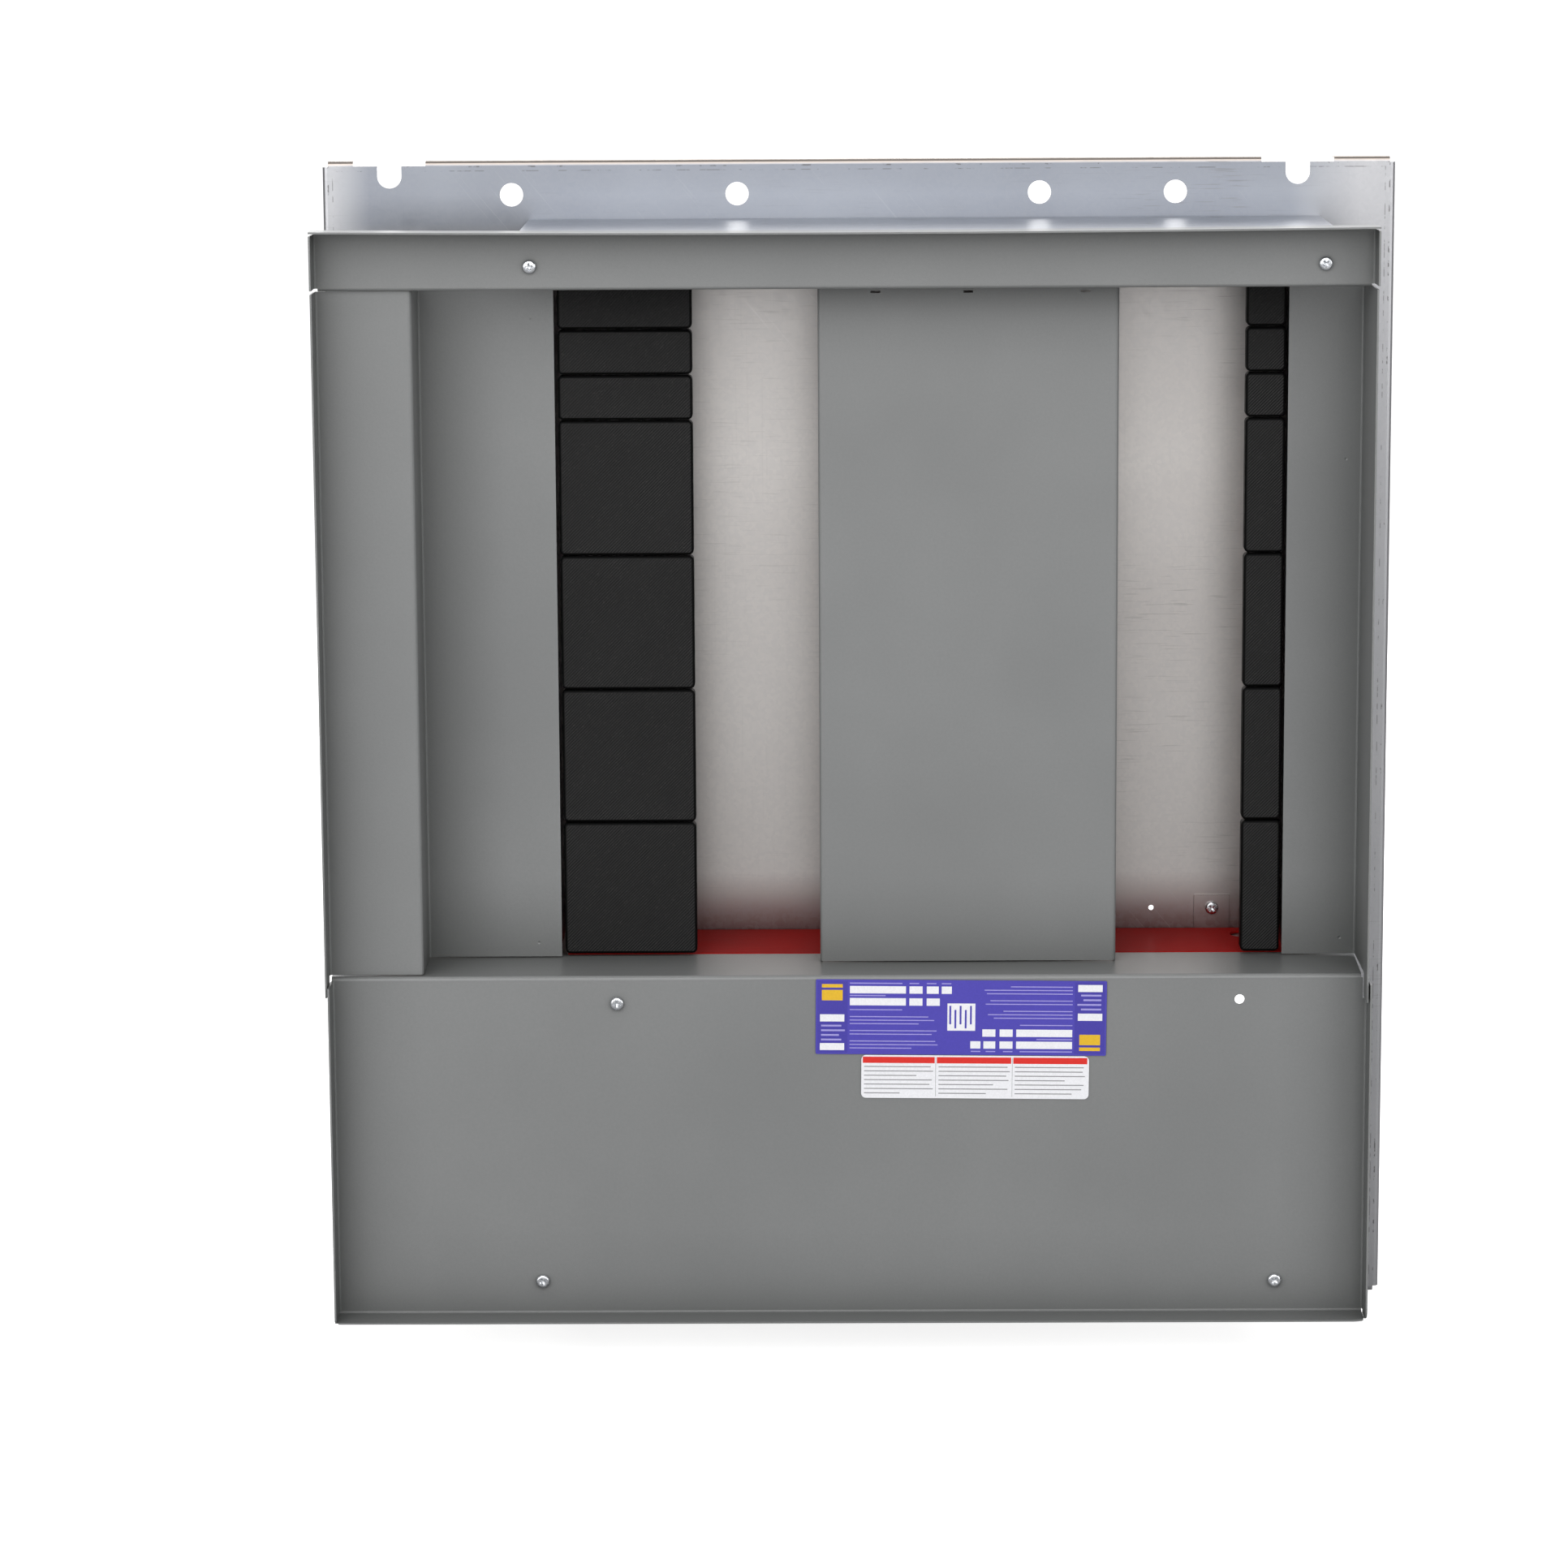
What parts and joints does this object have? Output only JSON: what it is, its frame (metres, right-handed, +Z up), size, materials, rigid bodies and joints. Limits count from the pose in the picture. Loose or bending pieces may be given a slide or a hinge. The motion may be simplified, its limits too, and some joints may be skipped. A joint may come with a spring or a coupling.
{
  "type": "panelboard interior",
  "caption": "Wall-box panelboard interior: galvanized pan, stacked bus with lugs and neutral, black filler blanks, and grey deadfront covers that pull off forwards.",
  "frame": {"origin": "on the pan's rear face, midway between the two upper mounting slots, at the height of the studs hanging in them", "axes": "+X to the right seen from the front, +Y from the covers back towards the wall box, +Z up"},
  "size_m": [0.9144, 0.237, 0.9997],
  "materials": {
    "grey_paint": "satin powder coat",
    "galvanized": "galvanized, satin with scuffs",
    "black_plastic": "finely textured",
    "red_board": "glossy laminate",
    "zinc": "bright zinc plate",
    "copper": "rolled",
    "tinned": "tin plated",
    "brown_moulding": "moulded polyester",
    "label_purple": "printed film",
    "label_white": "printed film"
  },
  "bodies": {
    "chassis": {"back_pan": "galvanized", "upper_bracket": "galvanized", "middle_bracket": "galvanized", "lower_bracket_left": "galvanized", "lower_bracket_right": "galvanized", "left_filler_rail": "galvanized", "right_filler_rail": "galvanized", "left_cover_rail": "galvanized", "right_cover_rail": "galvanized", "barrier": "red_board", "tab_screw_1": "zinc", "tab_screw_2": "zinc", "tab_screw_3": "zinc", "lug_screw_a1": "zinc", "lug_screw_a2": "zinc", "lug_screw_b1": "zinc", "lug_screw_b2": "zinc", "lug_screw_c1": "zinc", "lug_screw_c2": "zinc", "phase_bar_a": "copper", "phase_bar_b": "copper", "phase_bar_c": "copper", "main_lug_a": "tinned", "main_lug_b": "tinned", "main_lug_c": "tinned", "neutral_bar": "tinned", "neutral_lug": "tinned", "bus_support_top": "brown_moulding", "bus_support_middle": "brown_moulding", "bus_support_bottom": "brown_moulding", "neutral_standoff_upper": "brown_moulding", "neutral_standoff_lower": "brown_moulding"},
    "top_trim": {"top_trim": "grey_paint", "trim_screw_1": "zinc", "trim_screw_2": "zinc"},
    "bottom_cover": {"bottom_cover": "grey_paint", "cover_screw_1": "zinc", "cover_screw_2": "zinc", "cover_screw_3": "zinc", "rating_label": "label_purple", "notice_label": "label_white"},
    "left_side_cover": {"left_side_cover": "grey_paint"},
    "center_cover": {"center_cover": "grey_paint"},
    "right_side_cover": {"right_side_cover": "grey_paint"},
    "left_blank_1": {"left_blank_1": "black_plastic"},
    "left_blank_2": {"left_blank_2": "black_plastic"},
    "left_blank_3": {"left_blank_3": "black_plastic"},
    "left_blank_4": {"left_blank_4": "black_plastic"},
    "left_blank_5": {"left_blank_5": "black_plastic"},
    "left_blank_6": {"left_blank_6": "black_plastic"},
    "left_blank_7": {"left_blank_7": "black_plastic"},
    "right_blank_1": {"right_blank_1": "black_plastic"},
    "right_blank_2": {"right_blank_2": "black_plastic"},
    "right_blank_3": {"right_blank_3": "black_plastic"},
    "right_blank_4": {"right_blank_4": "black_plastic"},
    "right_blank_5": {"right_blank_5": "black_plastic"},
    "right_blank_6": {"right_blank_6": "black_plastic"},
    "right_blank_7": {"right_blank_7": "black_plastic"}
  },
  "joints": [
    {"name": "top_trim_pull", "type": "slide", "parent": "chassis", "child": "top_trim", "axis": [0, -1, 0], "range_m": [0, 0.12]},
    {"name": "bottom_cover_pull", "type": "slide", "parent": "chassis", "child": "bottom_cover", "axis": [0, -1, 0], "range_m": [0, 0.12]},
    {"name": "left_side_cover_pull", "type": "slide", "parent": "chassis", "child": "left_side_cover", "axis": [0, -1, 0], "range_m": [0, 0.12]},
    {"name": "center_cover_pull", "type": "slide", "parent": "chassis", "child": "center_cover", "axis": [0, -1, 0], "range_m": [0, 0.12]},
    {"name": "right_side_cover_pull", "type": "slide", "parent": "chassis", "child": "right_side_cover", "axis": [0, -1, 0], "range_m": [0, 0.12]},
    {"name": "left_blank_1_pull", "type": "slide", "parent": "chassis", "child": "left_blank_1", "axis": [0, -1, 0], "range_m": [0, 0.1]},
    {"name": "left_blank_2_pull", "type": "slide", "parent": "chassis", "child": "left_blank_2", "axis": [0, -1, 0], "range_m": [0, 0.1]},
    {"name": "left_blank_3_pull", "type": "slide", "parent": "chassis", "child": "left_blank_3", "axis": [0, -1, 0], "range_m": [0, 0.1]},
    {"name": "left_blank_4_pull", "type": "slide", "parent": "chassis", "child": "left_blank_4", "axis": [0, -1, 0], "range_m": [0, 0.1]},
    {"name": "left_blank_5_pull", "type": "slide", "parent": "chassis", "child": "left_blank_5", "axis": [0, -1, 0], "range_m": [0, 0.1]},
    {"name": "left_blank_6_pull", "type": "slide", "parent": "chassis", "child": "left_blank_6", "axis": [0, -1, 0], "range_m": [0, 0.1]},
    {"name": "left_blank_7_pull", "type": "slide", "parent": "chassis", "child": "left_blank_7", "axis": [0, -1, 0], "range_m": [0, 0.1]},
    {"name": "right_blank_1_pull", "type": "slide", "parent": "chassis", "child": "right_blank_1", "axis": [0, -1, 0], "range_m": [0, 0.1]},
    {"name": "right_blank_2_pull", "type": "slide", "parent": "chassis", "child": "right_blank_2", "axis": [0, -1, 0], "range_m": [0, 0.1]},
    {"name": "right_blank_3_pull", "type": "slide", "parent": "chassis", "child": "right_blank_3", "axis": [0, -1, 0], "range_m": [0, 0.1]},
    {"name": "right_blank_4_pull", "type": "slide", "parent": "chassis", "child": "right_blank_4", "axis": [0, -1, 0], "range_m": [0, 0.1]},
    {"name": "right_blank_5_pull", "type": "slide", "parent": "chassis", "child": "right_blank_5", "axis": [0, -1, 0], "range_m": [0, 0.1]},
    {"name": "right_blank_6_pull", "type": "slide", "parent": "chassis", "child": "right_blank_6", "axis": [0, -1, 0], "range_m": [0, 0.1]},
    {"name": "right_blank_7_pull", "type": "slide", "parent": "chassis", "child": "right_blank_7", "axis": [0, -1, 0], "range_m": [0, 0.1]}
  ]
}
